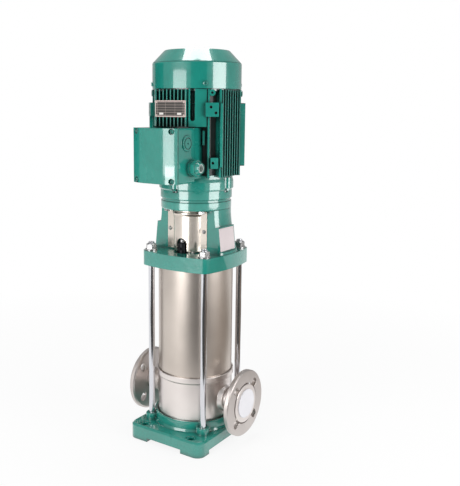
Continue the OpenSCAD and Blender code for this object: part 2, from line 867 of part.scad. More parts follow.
module shaft_bush() color("#8f949a")
    ring(bush_r, shaft_r + run_gap, spider_z - bush_stand, spider_z + spider_h + bush_stand);

// One stage chamber: floor with the wear neck, wall, partition and return vanes
module chamber(index) color(steel) {
    low = stack_z + index * stage_pitch;
    high = low + stage_pitch;
    shelf = high - shelf_drop;
    ring(chamber_r, chamber_r - chamber_t, low, high);
    ring(chamber_r - sink, eye_r + shroud_t + neck_gap, low, low + floor_t);
    ring(chamber_r - shelf_gap, hub_r + hub_gap, shelf, shelf + shelf_t);
    around(return_vanes, index * stage_turn) lift(shelf + sink)
        curved_blade(return_eye_r, chamber_r - sink, return_inside, return_beyond, return_vane_t,
            shelf_drop - sink - loose_gap);
}

module chamber_1() chamber(0);
module chamber_2() chamber(1);
module chamber_3() chamber(2);
module chamber_4() chamber(3);
module chamber_5() chamber(4);

// Holds the stack down under the head and lets the water out sideways
module stack_clamp() color(steel) {
    ring(chamber_r, hub_r + clamp_eye, stack_top, stack_top + clamp_t);
    around(4, 45) translate([chamber_r - clamp_post_in, 0, 0])
        disc(clamp_post_r, stack_top + clamp_t / 2, z_spigot_bottom - clamp_t / 2);
    ring(spigot_in_r + clamp_seat, chamber_r - clamp_rim, z_spigot_bottom - clamp_t, z_spigot_bottom);
}

// One closed impeller with curved vanes, its neck and its long hub
module impeller(index) color("#d3d0c8") {
    low = stack_z + index * stage_pitch;
    front = low + impeller_rise;
    back = front + shroud_t + passage_h;
    hub_top = front + shroud_t + stage_pitch;
    difference() {
        union() {
            ring(eye_r + shroud_t, eye_r, low + hub_gap, front + shroud_t);
            ring(impeller_r, eye_r, front, front + shroud_t);
            turned([[0, front + shroud_t], [hub_r, front + shroud_t],
                [hub_r + hub_swell / 5, back - hub_swell * 0.8], [hub_r + hub_swell, back],
                [impeller_r, back], [impeller_r, back + shroud_t],
                [hub_r, back + shroud_t], [hub_r, hub_top], [0, hub_top]]);
            around(impeller_vanes, index * impeller_turn) lift(front + sink)
                curved_blade(eye_r + vane_start, impeller_r - sink, impeller_inside, impeller_beyond,
                    impeller_vane_t, passage_h + shroud_t);
        }
        disc(shaft_r + seat_gap, front - past, hub_top + past);
    }
}

module impeller_1() impeller(0);
module impeller_2() impeller(1);
module impeller_3() impeller(2);
module impeller_4() impeller(3);
module impeller_5() impeller(4);

module impeller_nut() color(zinc) {
    low = stack_top + impeller_rise + shroud_t;
    difference() {
        lift(low) hexagon(2 * (hub_r - hub_gap), impeller_nut_h);
        disc(shaft_r + seat_gap, low - past, low + impeller_nut_h + past);
    }
}

module pump_shaft() color(zinc) {
    low = spider_z - shaft_stand;
    collar_z = stack_z + impeller_rise + shroud_t;
    turned([[0, low], [shaft_r - nick, low], [shaft_r, low + nick],
        [shaft_r, collar_z - shaft_collar_h], [shaft_r + shaft_collar_t, collar_z - shaft_collar_h],
        [shaft_r + shaft_collar_t, collar_z], [shaft_r, collar_z],
        [shaft_r, z_shaft_joint - shaft_end_gap - nick],
        [shaft_r - nick, z_shaft_joint - shaft_end_gap], [0, z_shaft_joint - shaft_end_gap]]);
}

// Mechanical seal: the seat stays in the boss and the ring turns with the shaft
module seal_seat() color("#9aa0a6")
    ring(seal_bore_r - seat_gap, shaft_r + seal_shaft_gap, seal_face + skim, z_boss_top - seal_stop_t);

module seal_ring() color("#3b4045") {
    low = seal_face - seal_l;
    step = seal_l / 30;
    fold_r = shaft_r + bellows_t;
    root_r = shaft_r + bellows_root_t;
    head_r = shaft_r + seal_head_t;
    turned([[shaft_r + seat_gap, low], [fold_r, low], [fold_r, low + 5 * step],
        [root_r, low + 7 * step], [fold_r, low + 10 * step], [root_r, low + 13 * step],
        [fold_r, low + 16 * step], [head_r, low + 20 * step], [head_r, low + 27 * step],
        [shaft_r + seal_face_t, seal_face], [shaft_r + seat_gap, seal_face]]);
}

// ---------- motor stool, coupling and guards ----------

// A square with bowed sides and round corners that run into the bows
module bowed_plate(mid, bow, corner, h) {
    back_off = bow - mid;
    reach = bow - corner;
    at = (sqrt(2 * reach * reach - back_off * back_off) - back_off) / 2;
    // the bows stop just short of where the corners run into them
    near = at * bow / reach - loose_gap;
    wide = (at + back_off) * bow / reach - back_off;
    intersection() {
        union() {
            translate([-near, -bow, 0]) cube([2 * near, 2 * bow, h]);
            translate([-bow, -near, 0]) cube([2 * bow, 2 * near, h]);
            linear_extrude(h) polygon([[near, wide], [wide, near], [wide, -near], [near, -wide],
                [-near, -wide], [-wide, -near], [-wide, near], [-near, wide]]);
        }
        translate([back_off, 0, 0]) cylinder(r = bow, h = h, $fn = 180);
        translate([-back_off, 0, 0]) cylinder(r = bow, h = h, $fn = 180);
        translate([0, back_off, 0]) cylinder(r = bow, h = h, $fn = 180);
        translate([0, -back_off, 0]) cylinder(r = bow, h = h, $fn = 180);
    }
    at_corners(at, at) cylinder(r = corner, h = h);
}

// The space in front of and behind the plate on a leg, between two depths
module plate_space(near, deep, margin)
    translate([facet_x, facet_y, facet_z]) rotate([0, -facet_tilt, 0])
        block([near, -pump_plate_w / 2 - margin, -pump_plate_h / 2 - margin],
            [deep, pump_plate_w / 2 + margin, pump_plate_h / 2 + margin]);

// Outer radius of a leg at a share u of the way down from the ring to the foot
function leg_r(u) = stool_ring_d / 2 + leg_flare * pow(u, 1.8);

module motor_stool() color(teal) {
    ring_r = stool_ring_d / 2;
    difference() {
        union() {
            intersection() {
                turned(concat([[0, z_deck - bevel], [leg_r(1), z_deck - bevel]],
                    [for (k = [0 : leg_steps])
                        [leg_r(1 - k / leg_steps), z_deck + window_h * k / leg_steps]],
                    [[ring_r, z_ring + sink], [0, z_ring + sink]]));
                block([-far, -guard_plane, z_deck - bevel], [far, guard_plane, z_ring + sink]);
            }
            turned([[0, z_ring], [ring_r - bevel, z_ring], [ring_r, z_ring + bevel],
                [ring_r, z_motor - nick], [ring_r - nick, z_motor], [0, z_motor]]);
            lift(z_foot) bowed_plate(foot_mid, foot_bow_r, foot_corner_r, foot_t);
            // pads for the plate
            for (side = [0, 1]) mirror([side, 0, 0]) intersection() {
                plate_space(-pad_depth, 0, pad_margin);
                block([0, -guard_plane, z_deck], [far, guard_plane, z_ring]);
            }
        }
        // hollow legs, window and the bore of the ring
        intersection() {
            disc(leg_in_r, z_deck, z_ring);
            block([-leg_in_r, -guard_plane + leg_wall, z_deck], [leg_in_r, guard_plane - leg_wall, z_ring]);
        }
        block([-window_half, -far, z_deck], [window_half, far, z_ring]);
        disc(motor_spigot_d / 2 + seat_gap, z_ring - past, z_motor + past);
        // legs faced off in front of the pads
        for (side = [0, 1]) mirror([side, 0, 0]) plate_space(0, 2 * pad_depth, pad_margin);
        // recess over the head, opening round the seal boss and vent notch
        disc(lip_in_r, z_foot - past, z_head_top);
        disc(seal_boss_r + seal_boss_gap, z_head_top - past, z_deck + past);
        block([-notch_half - past, -vent_at - vent_room, z_head_top - past],
            [notch_half + past, 0, z_deck + past]);
        at_corners(rod_at, rod_at) disc(rod_r + rod_clear, z_foot - past, z_deck + past);
        // holes for the motor bolts and the guard screws
        around(4, 45) translate([motor_pcd / 2, 0, 0]) disc(motor_hole_r, z_ring - past, z_motor + past);
        for (side = [-1, 1]) translate([side * guard_screw_x, far / 2, guard_screw_z])
            along_y(screw_r + seat_gap, far);
    }
}

// Copies at the coupling screws, their axes along -Y
module at_coupling_screws()
    for (side = [-1, 1], z = [z_coupling + coupling_screw_end, z_coupling_top - coupling_screw_end])
        translate([side * (coupling_r - coupling_screw_in), 0, z]) rotate([90, 0, 0]) children();

// One half of the split coupling, on the -Y side
module coupling_half() difference() {
    turned([[0, z_coupling], [coupling_r - bevel, z_coupling], [coupling_r, z_coupling + bevel],
        [coupling_r, z_coupling_top - bevel], [coupling_r - bevel, z_coupling_top],
        [0, z_coupling_top]]);
    block([-coupling_d, -coupling_split, z_coupling - past],
        [coupling_d, coupling_d, z_coupling_top + past]);
    disc(shaft_r + seat_gap, z_coupling - past, z_shaft_joint);
    disc(motor_shaft_r + seat_gap, z_shaft_joint, z_coupling_top + past);
    at_coupling_screws() {
        cylinder(r = coupling_screw_r + seat_gap, h = coupling_d);
        lift(coupling_ear) cylinder(r = coupling_pocket_r, h = coupling_d);
    }
}

module coupling_half_front() color("#7d8286") coupling_half();
module coupling_half_back() color("#7d8286") mirror([0, 1, 0]) coupling_half();

module coupling_screws() color(dark) at_coupling_screws() {
    lift(-coupling_ear) cylinder(r = coupling_screw_r, h = 2 * coupling_ear);
    difference() {
        lift(coupling_ear) cylinder(r = coupling_head_r, h = coupling_head_h);
        lift(coupling_ear + coupling_head_h - socket_h) hexagon(socket_af, socket_h + past);
    }
    mirror([0, 0, 1]) lift(coupling_ear) rotate([0, 0, 30])
        hexagon(coupling_nut_af, coupling_head_h);
}

// A sheet guard with side strips, a bulge with a rolled lip and a notch for the vent
module coupling_guard() color(steel) {
    lip_z = guard_top - guard_lip_down;
    lip_half = guard_lip_half * 0.72;
    lip_r_out = bulge_r + guard_lip_out * 5 / 7;
    difference() {
        union() {
            intersection() {
                translate([0, -bulge_y, 0]) union() {
                    ring(bulge_r, bulge_r - guard_t, guard_bottom, guard_top);
                    turned([[bulge_r - guard_t / 4, lip_z - guard_lip_half], [lip_r_out, lip_z - lip_half],
                        [bulge_r + guard_lip_out, lip_z], [lip_r_out, lip_z + lip_half],
                        [bulge_r - guard_t / 4, lip_z + guard_lip_half]]);
                }
                block([-bulge_half, -far, guard_bottom], [bulge_half, -guard_plane, guard_top]);
            }
            for (side = [0, 1]) mirror([side, 0, 0])
                block([bulge_half - 0.75 * guard_t, -guard_plane - guard_t, guard_bottom],
                    [guard_half, -guard_plane, guard_top]);
            // locating tabs, above and below
            for (z = [guard_bottom, guard_top])
                block([guard_tab_x, -guard_tab_y - guard_t, z - guard_tab_up],
                    [guard_tab_x + guard_tab_w, -guard_tab_y, z + guard_tab_up]);
        }
        lift(notch_top - notch_half) along_y(notch_half, far);
        block([-notch_half, -far, guard_bottom - 2 * guard_tab_up],
            [notch_half, 0, notch_top - notch_half]);
        for (side = [-1, 1]) translate([side * guard_screw_x, 0, guard_screw_z])
            along_y(screw_r + seat_gap, far);
    }
}

module coupling_guard_front() coupling_guard();
module coupling_guard_back() mirror([0, 1, 0]) coupling_guard();

// A low screw head with one slot or two crossed ones, standing on the XY plane
module screw_head(r, h, slots) difference() {
    turned([[0, 0], [r, 0], [r * 0.93, h * 0.6], [r * 0.6, h], [0, h]]);
    for (k = [1 : slots]) rotate([0, 0, 90 * k])
        block([-r, -screw_slot_w / 2, h * 0.6], [r, screw_slot_w / 2, h + past]);
}

module guard_screws() color(zinc)
    for (side = [-1, 1], face = [0, 1]) mirror([0, face, 0])
        translate([side * guard_screw_x, -guard_plane - guard_t, guard_screw_z]) rotate([90, 0, 0]) {
            lift(-guard_screw_l) cylinder(r = screw_r, h = guard_screw_l + nick / 2);
            screw_head(screw_r * 1.8, 3, 1);
        }

// Copies at the four rivets of a bare plate that lies in the XY plane
module at_rivets(w, h) at_corners(w / 2 - rivet_in, h / 2 - rivet_in) children();

// Bare plate on the pad of the discharge side leg
module pump_plate() color("#e8e4e2") {
    plate_space(0, plate_t, 0);
    translate([facet_x, facet_y, facet_z]) rotate([0, 90 - facet_tilt, 0])
        at_rivets(pump_plate_h, pump_plate_w) disc(rivet_r, plate_t, plate_t + rivet_h);
}

// ---------- motor ----------

module flange_bolts() color(zinc)
    around(4, 45) translate([motor_pcd / 2, 0, 0]) {
        disc(motor_bolt_r, z_ring - motor_washer_t - motor_bolt_h / 2, z_motor + motor_bolt_l);
        ring(motor_washer_r, motor_bolt_r + seat_gap, z_ring - motor_washer_t, z_ring);
        lift(z_ring - motor_washer_t - motor_bolt_h) hexagon(motor_bolt_af, motor_bolt_h);
    }

module drive_end_shield() color(teal) {
    up = shield_h / 11;
    spigot = motor_spigot_d / 2;
    bell = motor_face_r + shield_rim;
    difference() {
        union() {
            turned([[0, z_motor - shield_spigot_h], [spigot - nick / 2, z_motor - shield_spigot_h],
                [spigot, z_motor - shield_spigot_h + nick], [spigot, z_motor],
                [motor_face_r - shield_rim, z_motor], [motor_face_r - shield_rim, z_motor + up],
                [motor_face_r, z_motor + 1.4 * up], [motor_face_r, z_motor + 5 * up],
                [bell, z_motor + 5.6 * up], [bell, z_motor + 8.8 * up],
                [motor_face_r + nick, z_frame - 0.8 * up], [motor_face_r + nick, z_frame],
                [frame_in_r - seat_gap, z_frame], [frame_in_r - seat_gap, z_frame + shield_neck_h],
                [0, z_frame + shield_neck_h]]);
            around(4) translate([shield_lug_at, 0, 0]) {
                disc(shield_lug_r, shield_lug_low, shield_lug_top);
                block([-shield_lug_root, -shield_lug_r, shield_lug_low], [0, shield_lug_r, shield_lug_top]);
            }
        }
        // winding space, bearing seat and shaft hole
        turned([[0, de_bearing_z + de_bearing_h - sink],
            [de_bearing_r + shield_neck_h, de_bearing_z + de_bearing_h - sink],
            [frame_in_r - 8, z_frame - 2.8 * up], [frame_in_r - 5, z_frame + shield_neck_h + past],
            [0, z_frame + shield_neck_h + past]]);
        disc(de_bearing_r + seat_gap, de_bearing_z, de_bearing_z + de_bearing_h + past);
        disc(motor_shaft_r + shaft_pass_gap, z_motor - shield_spigot_h - past, de_bearing_z + past);
        around(4, 45) translate([motor_pcd / 2, 0, 0])
            disc(motor_bolt_r + seat_gap, z_motor - past, z_motor + motor_bolt_l + 2 * past);
        around(4) translate([shield_lug_at, 0, 0]) {
            disc(screw_r + seat_gap, shield_lug_low - past, z_frame + shield_neck_h + past);
            disc(shield_lug_r - bevel, shield_lug_low - shield_lug_r, shield_lug_low);
        }
        // the lug behind the terminal box stops short of it
        block([-2 * shield_lug_r, -2 * box_back, box_z - past],
            [2 * shield_lug_r, past - box_back, z_frame]);
    }
}

// A deep groove ball bearing: two grooved rings and the balls between them
module ball_bearing(outer, inner, low, h, balls) {
    race = (outer + inner) / 2;
    ball_r = (outer - inner) * 0.27;
    wall = (outer - inner) * 0.34;
    lift(low + h / 2) {
        rotate_extrude() difference() {
            translate([inner, -h / 2]) square([wall, h]);
            translate([race, 0]) circle(r = ball_r + seat_gap);
        }
        rotate_extrude() difference() {
            translate([outer - wall, -h / 2]) square([wall, h]);
            translate([race, 0]) circle(r = ball_r + seat_gap);
        }
        around(balls) translate([race, 0, 0]) sphere(r = ball_r, $fn = 32);
    }
}

module drive_end_bearing() color("#b9bcc0")
    ball_bearing(de_bearing_r, de_seat_r + run_gap, de_bearing_z, de_bearing_h, 9);

module fan_end_bearing() color("#b9bcc0")
    ball_bearing(fe_bearing_r, fe_seat_r + run_gap, fe_bearing_z, fe_bearing_h, 9);

// A round blind hole into a corner of the stator housing, from its boss face inwards
module corner_hole(across, up, r, depth)
    translate([boss_n - depth, across, z_frame + up]) along_x(r, depth + past);

// One corner of the stator housing, between -Y and +X: a smooth pad with a slot, beside a
// channel between two rails, with two square screw bosses and a small eye at the top
module housing_corner(pad_from) rotate([0, 0, -45]) {
    root = frame_r - corner_root;
    low = z_frame + past;
    high = z_frame_top - past;
    difference() {
        block([root, -pad_edge, pad_from], [pad_n, rail_inner - bevel, high]);
        block([pad_n - slot_depth, slot_at - slot_r, z_frame_top - slot_l],
            [pad_n + past, slot_at + slot_r, z_frame_top]);
        translate([pad_n - slot_depth, slot_at, z_frame_top - slot_l]) along_x(slot_r, slot_depth + past);
    }
    block([root, rail_inner, low], [pad_n + bevel, rail_inner + rail_inner_w, high]);
    block([root, rail_outer, low], [pad_n - 2 * bevel, rail_outer + rail_outer_w, high]);
    block([root, rail_outer, z_frame + rail_low], [rail_n, rail_outer + rail_outer_w, z_frame + rail_high]);
    block([root, bar_at - bar_w / 2, z_frame + bar_low], [bar_n, bar_at + bar_w / 2, z_frame + bar_high]);
    difference() {
        union() {
            for (boss = [boss_high, boss_low])
                block([root, boss[0], z_frame + boss[2]], [boss_n, boss[1], z_frame + boss[3]]);
        }
        for (hole = boss_holes) corner_hole(hole[0], hole[1], boss_hole_r, boss_hole_l);
    }
    difference() {
        translate([root, eye_at, z_frame_top - eye_down]) along_x(eye_r_out, eye_n - root);
        corner_hole(eye_at, housing_l - eye_down, screw_r, boss_hole_l);
    }
}

// Where a fin at an offset from the axis starts, inside the wall of the tube
function fin_root(off) = sqrt(pow(frame_r - frame_t / 2, 2) - pow(abs(off) + fin_t / 2, 2));

module stator_housing() color(teal) {
    fins_y = [for (k = [-4 : 4]) k * fin_pitch];
    fins_x = [for (k = [-4 : 3]) (k + 0.5) * fin_pitch];
    seat_half = box_w / 2 - seat_edge;
    difference() {
        union() {
            disc(frame_r, z_frame, z_frame_top);
            disc(fin_reach_x - fin_top_ring, z_frame_top - fin_base_h, z_frame_top);
            disc(fin_reach_x - fin_low_ring, z_frame, z_frame + fin_base_h);
            for (x = fins_y) {
                block([x - fin_t / 2, fin_root(x), z_frame + fin_gap],
                    [x + fin_t / 2, fin_reach_y, z_frame_top - fin_gap]);
                block([x - fin_t / 2, -fin_reach_y, box_top + fin_gap],
                    [x + fin_t / 2, -fin_root(x), z_frame_top - fin_gap]);
            }
            for (y = fins_x, side = [-1, 1]) scale([side, 1, 1])
                block([fin_root(y), y - fin_t / 2, z_frame + fin_gap],
                    [fin_reach_x, y + fin_t / 2, z_frame_top - fin_gap]);
            // the pads end above the terminal box, and run down to the shield behind
            for (sx = [0, 1]) mirror([sx, 0, 0]) {
                housing_corner(box_top + fin_gap);
                mirror([0, 1, 0]) housing_corner(z_frame + past);
            }
            around(4) block([frame_in_r + bevel, -shield_lug_r, z_frame],
                [shield_lug_at + lug_reach, shield_lug_r, z_frame + shield_screw_reach + lug_top]);
            // seat of the terminal box
            block([-seat_half, -box_back, z_frame], [seat_half, -frame_r / 2, box_top]);
        }
        disc(frame_in_r, z_frame - past, z_frame_top + past);
        // cable way into the terminal box
        translate([0, -frame_in_r + frame_t, cable_way_z]) along_y(cable_way_r, box_back);
        // room for the terminal box beside the corner pads
        block([-box_w / 2 - past, -2 * fin_reach_y, z_frame - past],
            [box_w / 2 + past, -box_back, box_top + past]);
        around(4) translate([shield_lug_at, 0, 0])
            disc(screw_r + seat_gap, z_frame - past, z_frame + shield_screw_reach + past);
    }
}

module stator_core() color("#6b6f73") difference() {
    ring(frame_in_r - seat_gap, rotor_d / 2 + air_gap, core_z, core_z + core_l);
    around(core_slots) block([rotor_d / 2 - past, -core_slot_w / 2, core_z - past],
        [rotor_d / 2 + core_slot_depth, core_slot_w / 2, core_z + core_l + past]);
}

// Winding heads above and below the stator core
module windings() color("#b5651d") {
    inner = rotor_d / 2 + coil_in;
    outer = inner + coil_t;
    for (up = [0, 1]) lift(core_z + core_l / 2) mirror([0, 0, up])
        lift(core_l / 2) turned([[inner, 0], [outer, 0], [outer + bevel, coil_h / 3],
            [outer, coil_h * 7 / 9], [outer - coil_in, coil_h], [inner + 2 * bevel, coil_h],
            [inner, coil_h * 13 / 18]]);
}

module rotor_core() color("#8a8d90") {
    ring(rotor_d / 2, motor_body_r + seat_gap, core_z, core_z + core_l);
    for (z = [core_z - end_ring_h + sink / 2, core_z + core_l - sink / 2])
        ring(rotor_d / 2 - end_ring_in, rotor_d / 2 - end_ring_in - end_ring_t, z, z + end_ring_h);
}

module motor_shaft() color(zinc) {
    fe_top = fe_bearing_z + fe_bearing_h + nick;
    low = z_shaft_joint + motor_end_gap;
    high = fan_z + fan_hub_h + 3 * nick;
    turned([[0, low], [motor_shaft_r - nick, low], [motor_shaft_r, low + nick],
        [motor_shaft_r, de_bearing_z - nick], [de_seat_r, de_bearing_z - nick],
        [de_seat_r, de_bearing_z + de_bearing_h], [motor_body_r, de_bearing_z + de_bearing_h],
        [motor_body_r, fe_bearing_z], [fe_seat_r, fe_bearing_z], [fe_seat_r, fe_top],
        [fan_seat_r, fe_top], [fan_seat_r, high - nick], [fan_seat_r - nick, high], [0, high]]);
}

module fan_end_shield() color(teal) {
    low = z_frame_top;
    neck_r = frame_in_r - seat_gap;
    rim = cowl_in_r - loose_gap;
    hub_r_out = fe_bearing_r + fe_hub_t;
    plate_r = frame_in_r - fe_plate_t;
    difference() {
        union() {
            turned([[neck_r - fe_step, low - fe_neck_h], [neck_r, low - fe_neck_h], [neck_r, low],
                [frame_r + fe_step, low], [frame_r + fe_step, low + fe_neck_h],
                [frame_in_r - fe_hub_t, low + fe_plate_t], [hub_r_out, low + fe_plate_t],
                [hub_r_out - bevel, low + fe_hub_h], [fe_seat_r + fe_hole_gap, low + fe_hub_h],
                [fe_seat_r + fe_hole_gap, low], [hub_r_out, low], [plate_r, low],
                [plate_r, low - bevel]]);
            intersection() {
                around(4, 45)
                    block([frame_r - fe_neck_h, -fe_arm_half, low], [cowl_r, fe_arm_half, low + fe_arm_h]);
                disc(rim, low, low + fe_arm_h);
            }
            around(8) block([hub_r_out - 2 * bevel, -fe_rib_half, low + fe_neck_h],
                [frame_in_r - fe_neck_h, fe_rib_half, low + fe_arm_h - nick]);
        }
        disc(fe_bearing_r + seat_gap, low - fe_neck_h - past, fe_bearing_z + fe_bearing_h);
        around(4, 45) translate([rim - fe_plate_t, 0, cowl_screw_z])
            along_x(screw_r + seat_gap, 2 * fe_plate_t);
    }
}

module cooling_fan() color(dark) difference() {
    union() {
        turned([[0, fan_z], [fan_hub_r, fan_z], [fan_hub_r + fan_step, fan_z + fan_step - nick],
            [fan_disc_r, fan_z + fan_step + nick], [fan_disc_r, fan_z + fan_step + 3.5 * nick],
            [fan_hub_r + bevel, fan_z + fan_step + bevel], [fan_hub_r - nick, fan_z + fan_hub_h],
            [0, fan_z + fan_hub_h]]);
        around(fan_blades) block([fan_hub_r - bevel, -fan_blade_t / 2, fan_z + nick],
            [fan_r, fan_blade_t / 2, fan_z + fan_h]);
    }
    disc(fan_seat_r + seat_gap, fan_z - past, fan_z + fan_h);
    turned([[fan_r * 0.55, fan_z - past], [fan_r + past, fan_z - past],
        [fan_r + past, fan_z + fan_step + nick], [fan_disc_r, fan_z + fan_step / 2]]);
}

// Sheet cowl with a conical shoulder and a grille of ring slots between radial ribs
module fan_cowl() color(teal) {
    grille_r = grille_d / 2;
    difference() {
        turned([[cowl_in_r, z_frame_top], [cowl_r, z_frame_top], [cowl_r, z_cone - bevel],
            [cowl_r - 1.5 * nick, z_cone + nick], [grille_r + nick, z_top - 1.5 * nick],
            [grille_r - nick, z_top], [0, z_top], [0, z_top - cowl_t],
            [grille_r - bevel, z_top - cowl_t], [cowl_in_r - 1.5 * nick, z_cone],
            [cowl_in_r, z_cone - 3 * nick]]);
        for (k = [0 : grille_rings - 1]) {
            inner = grille_eye_r + k * (slot_w + land_w);
            difference() {
                ring(inner + slot_w, inner, z_top - cowl_t - past, z_top + past);
                around(6, 30) block([0, -grille_rib_half, z_top - cowl_t - 2 * past],
                    [grille_r, grille_rib_half, z_top + 2 * past]);
            }
        }
        around(4, 45) translate([cowl_in_r - 5 * past, 0, cowl_screw_z])
            along_x(screw_r + seat_gap, 20 * past);
    }
}

module cowl_screws() color(teal)
    around(4, 45) translate([cowl_r, 0, cowl_screw_z]) rotate([0, 90, 0]) {
        lift(-cowl_screw_l) cylinder(r = screw_r, h = cowl_screw_l + nick / 2);
        screw_head(screw_r * 2, 3.2, 2);
    }

module shield_screws() color(teal)
    around(4) translate([shield_lug_at, 0, 0]) {
        disc(screw_r, shield_lug_low - past, z_frame + shield_screw_reach);
        lift(shield_lug_low - shield_head_h) hexagon(shield_head_af, shield_head_h);
    }

// ---------- terminal box ----------

// Copies at the four cover screws, outwards along -Y from a depth
module at_cover_screws(depth)
    for (x = [-cover_screw_x, cover_screw_x], z = [cover_screw_low, cover_screw_high])
        translate([x, -depth, z]) rotate([90, 0, 0]) children();

// Outline of the box between two depths, along -Y
module box_block(inset, near, deep)
    block([-box_w / 2 + inset, -deep, box_z + inset], [box_w / 2 - inset, -near, box_top - inset]);

module terminal_box() color(teal) difference() {
    translate([0, -box_back, box_z + box_h / 2]) rotate([90, 0, 0])
        round_plate(box_w, box_h, box_d, box_edge_r);
    difference() {
        box_block(box_wall, box_back + box_wall, box_front + past);
        at_cover_screws(box_back) cylinder(r = box_post_r, h = box_d);
    }
    translate([0, past - box_back, cable_way_z]) along_y(cable_way_r, box_wall + 2 * past);
    at_cover_screws(box_front - box_post_bore_l)
        cylinder(r = screw_r + seat_gap, h = box_post_bore_l + past);
    translate([0, gland_y, gland_z]) along_x(gland_thread_r + seat_gap, box_w);
    translate([0, blank_y, blank_z]) along_x(blank_thread_r + seat_gap, box_w);
}

module terminal_gasket() color(dark) difference() {
    union() {
        difference() {
            box_block(gasket_in, box_front, cover_back);
            box_block(box_wall, box_front - past, cover_back + past);
        }
        at_cover_screws(box_front) cylinder(r = box_post_r, h = box_seat_t);
    }
    at_cover_screws(box_front - past) cylinder(r = gasket_hole_r, h = box_seat_t + 2 * past);
}

// Shell of the cover: a flat front that rounds away to both sides
module cover_shape(inset) {
    flat_half = box_w / 2 - cover_round;
    depth = cover_front - cover_back - cover_rim;
    round_r = (cover_round * cover_round + depth * depth) / (2 * depth);
    intersection() {
        box_block(inset, cover_back - 0.01 * inset, cover_front - inset);
        union() {
            block([-flat_half, -cover_front - past, box_z], [flat_half, -cover_back + past, box_top]);
            for (side = [-1, 1]) translate([side * flat_half, round_r - cover_front, box_z])
                cylinder(r = round_r - inset, h = box_h, $fn = 180);
        }
    }
}

module terminal_cover() color(teal) difference() {
    cover_shape(0);
    difference() {
        translate([0, past / 2, 0]) cover_shape(box_wall);
        at_cover_screws(cover_back) cylinder(r = cover_pocket_r + cover_pocket_wall, h = cover_d + past);
    }
    at_cover_screws(cover_back) {
        lift(-past) cylinder(r = screw_r + seat_gap, h = 2 * cover_d);
        lift(cover_floor_t) cylinder(r = cover_pocket_r, h = 2 * cover_d);
    }
}

module cover_screws() color(teal) at_cover_screws(cover_back + cover_floor_t) {
    lift(-cover_screw_l) cylinder(r = screw_r, h = cover_screw_l + nick / 2);
    screw_head(screw_r * 2, 3.2, 2);
}

// Moulded block with six studs and their nuts
module terminal_block() color("#30343a") {
    back = box_back + box_wall;
    block([-block_half, -back - block_t, block_z], [block_half, -back, block_z + block_h]);
    for (x = [-stud_pitch, 0, stud_pitch], up = stud_rows)
        translate([x, sink - back - block_t, block_z + up]) rotate([90, 0, 0]) {
            cylinder(r = stud_r, h = stud_l);
            hexagon(stud_nut_af, stud_nut_h);
        }
}

// Cable gland with a seal insert round its hole
module cable_gland() color(teal) translate([box_w / 2, gland_y, gland_z]) rotate([0, 90, 0])
    difference() {
        union() {
            disc(gland_thread_r, -box_wall - gland_in, sink);
            hexagon(gland_af, gland_base_h);
            disc(gland_af / 2 - nick, gland_base_h - sink, gland_base_h + bevel);
            lift(gland_base_h + nick) hexagon(gland_af - nick, gland_nut_h - gland_base_h - nick);
            turned([[0, gland_base_h], [gland_af / 2 - bevel, gland_base_h],
                [gland_af / 2 - bevel, gland_nut_h + nick], [gland_af / 2 - 2 * bevel, gland_l - 3 * nick],
                [gland_bore_d / 2 + 2 * bevel, gland_l], [0, gland_l]]);
        }
        disc(gland_bore_d / 2, -box_wall - gland_in - past, gland_l + past);
        ring(gland_bore_d / 2 + 1.5 * bevel, gland_bore_d / 2 + nick, gland_l - nick, gland_l + past);
    }

module blanking_plug() color(teal) translate([box_w / 2, blank_y, blank_z]) rotate([0, 90, 0])
    difference() {
        turned([[0, -box_wall - blank_in], [blank_thread_r, -box_wall - blank_in], [blank_thread_r, 0],
            [blank_d / 2, 0], [blank_d / 2, blank_h / 2], [blank_d / 2 - blank_h * 0.4, blank_h],
            [0, blank_h]]);
        ring(blank_d / 2 - 2 * bevel, blank_d / 2 - 3 * bevel, blank_h / 2, blank_h + past);
        disc(bevel, -bevel, blank_h + past);
    }

// Bare plate riveted to the fin tips above the terminal box
module motor_plate() color("#d9d2d0") translate([0, -fin_reach_y, motor_plate_z]) rotate([90, 0, 0]) {
    block([-motor_plate_w / 2, -motor_plate_h / 2, 0], [motor_plate_w / 2, motor_plate_h / 2, plate_t]);
    at_rivets(motor_plate_w, motor_plate_h) disc(rivet_r, plate_t, plate_t + rivet_h);
}

base_plate();
pump_housing();
sleeve_seals();
sleeve();
pump_head();
motor_stool();
tie_rods();
rod_washers();
rod_nuts();
suction_flange();
discharge_flange();
suction_cap();
discharge_cap();
vent_plug();
vent_screw();
shaft_bush();
chamber_1();
chamber_2();
chamber_3();
chamber_4();
chamber_5();
stack_clamp();
impeller_1();
impeller_2();
impeller_3();
impeller_4();
impeller_5();
impeller_nut();
pump_shaft();
seal_seat();
seal_ring();
coupling_half_front();
coupling_half_back();
coupling_screws();
coupling_guard_front();
coupling_guard_back();
guard_screws();
pump_plate();
flange_bolts();
drive_end_shield();
drive_end_bearing();
stator_housing();
stator_core();
windings();
rotor_core();
motor_shaft();
fan_end_shield();
fan_end_bearing();
cooling_fan();
fan_cowl();
cowl_screws();
shield_screws();
terminal_box();
terminal_gasket();
terminal_cover();
cover_screws();
terminal_block();
cable_gland();
blanking_plug();
motor_plate();
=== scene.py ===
"""Vertical multistage pump: finishes, trim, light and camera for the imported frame."""

import math

import bpy
from mathutils import Matrix, Vector


